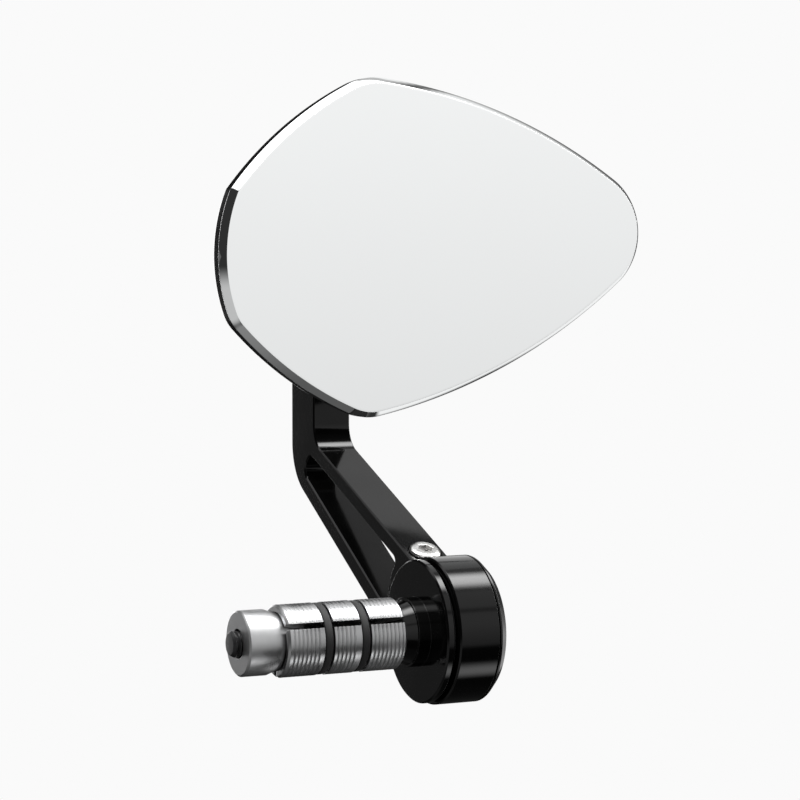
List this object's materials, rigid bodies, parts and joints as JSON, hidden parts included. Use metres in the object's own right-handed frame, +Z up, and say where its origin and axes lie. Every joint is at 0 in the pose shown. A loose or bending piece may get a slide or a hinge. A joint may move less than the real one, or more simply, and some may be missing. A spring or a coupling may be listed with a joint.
{
  "type": "bar-end mirror",
  "caption": "Bar-end mirror: polished bevelled mirror head on a ball joint, windowed arm clamped round a hub, and an expander that grips inside the handlebar.",
  "frame": {"origin": "on the handlebar's axis, where the end of the bar meets the hub's collar", "axes": "+X outboard along the bar, +Y forward, away from the rider, so the mirror looks to -Y, +Z up"},
  "size_m": [0.1298, 0.1046, 0.147],
  "materials": {
    "mirror_face": "polished metal, mirror bright",
    "black_anodised": "black anodised, satin",
    "bare_aluminium": "turned, bare",
    "stainless": "bright stainless steel",
    "black_steel": "black oxide steel",
    "polymer": "natural bearing polymer",
    "rubber": "matt black rubber",
    "adhesive": "dark adhesive sheet"
  },
  "bodies": {
    "hub": {"bar_end_hub": "black_anodised", "hub_seal": "rubber", "end_cap": "black_anodised", "bolt_washer": "stainless"},
    "arm": {"arm": "black_anodised", "stud_washer": "stainless", "stud_nut": "stainless"},
    "clamp_screw": {"clamp_screw": "stainless"},
    "stud": {"ball_stud": "stainless"},
    "liner": {"socket_liner": "polymer"},
    "head": {"mirror_plate": "mirror_face", "bonding_pad": "adhesive", "head_shell": "black_anodised", "socket_ring": "bare_aluminium", "socket_screw_1": "stainless", "socket_screw_2": "stainless", "socket_screw_3": "stainless"},
    "bolt": {"expander_bolt": "black_steel"},
    "cone": {"expander_cone": "bare_aluminium"},
    "jaw_1": {"expander_jaw_1": "bare_aluminium"},
    "jaw_2": {"expander_jaw_2": "bare_aluminium"},
    "jaw_3": {"expander_jaw_3": "bare_aluminium"},
    "bands": {"jaw_band_1": "rubber", "jaw_band_2": "rubber"}
  },
  "joints": [
    {"name": "arm_swing", "type": "hinge", "parent": "hub", "child": "arm", "pos_m": [0.008, 0, 0], "axis": [1, 0, 0], "continuous": true},
    {"name": "clamp_screw_turn", "type": "hinge", "parent": "arm", "child": "clamp_screw", "pos_m": [0.008, 0.01193, 0.0167], "axis": [0, 0.3859, -0.9225], "range_deg": [-720, 0]},
    {"name": "stud_spin", "type": "hinge", "parent": "arm", "child": "stud", "pos_m": [0.008, 0.052, 0.088], "axis": [0, 1, 0], "range_deg": [-30, 30]},
    {"name": "head_tilt", "type": "hinge", "parent": "stud", "child": "liner", "pos_m": [0.008, 0.052, 0.088], "axis": [1, 0, 0], "range_deg": [-15, 15]},
    {"name": "head_pan", "type": "hinge", "parent": "liner", "child": "head", "pos_m": [0.008, 0.052, 0.088], "axis": [0, 0, 1], "range_deg": [-15, 15]},
    {"name": "expander_bolt_turn", "type": "hinge", "parent": "hub", "child": "bolt", "pos_m": [0, 0, 0], "axis": [-1, 0, 0], "range_deg": [0, 1440]},
    {"name": "cone_slide", "type": "slide", "parent": "hub", "child": "cone", "axis": [1, 0, 0], "range_m": [0, 0.00401]},
    {"name": "jaw_1_slide", "type": "slide", "parent": "hub", "child": "jaw_1", "axis": [0.9397, 0, 0.342], "range_m": [0, 0.00214]},
    {"name": "jaw_2_slide", "type": "slide", "parent": "hub", "child": "jaw_2", "axis": [0.9397, -0.2962, -0.171], "range_m": [0, 0.00214]},
    {"name": "jaw_3_slide", "type": "slide", "parent": "hub", "child": "jaw_3", "axis": [0.9397, 0.2962, -0.171], "range_m": [0, 0.00214]},
    {"name": "band_slide", "type": "slide", "parent": "hub", "child": "bands", "axis": [1, 0, 0], "range_m": [0, 0.00201]}
  ],
  "couplings": [
    {"joint": "cone_slide", "follows": "expander_bolt_turn", "m_per_rad": 0.00015915},
    {"joint": "jaw_1_slide", "follows": "expander_bolt_turn", "m_per_rad": 0.000084685},
    {"joint": "jaw_2_slide", "follows": "expander_bolt_turn", "m_per_rad": 0.000084685},
    {"joint": "jaw_3_slide", "follows": "expander_bolt_turn", "m_per_rad": 0.000084685},
    {"joint": "band_slide", "follows": "expander_bolt_turn", "m_per_rad": 0.000079577}
  ]
}
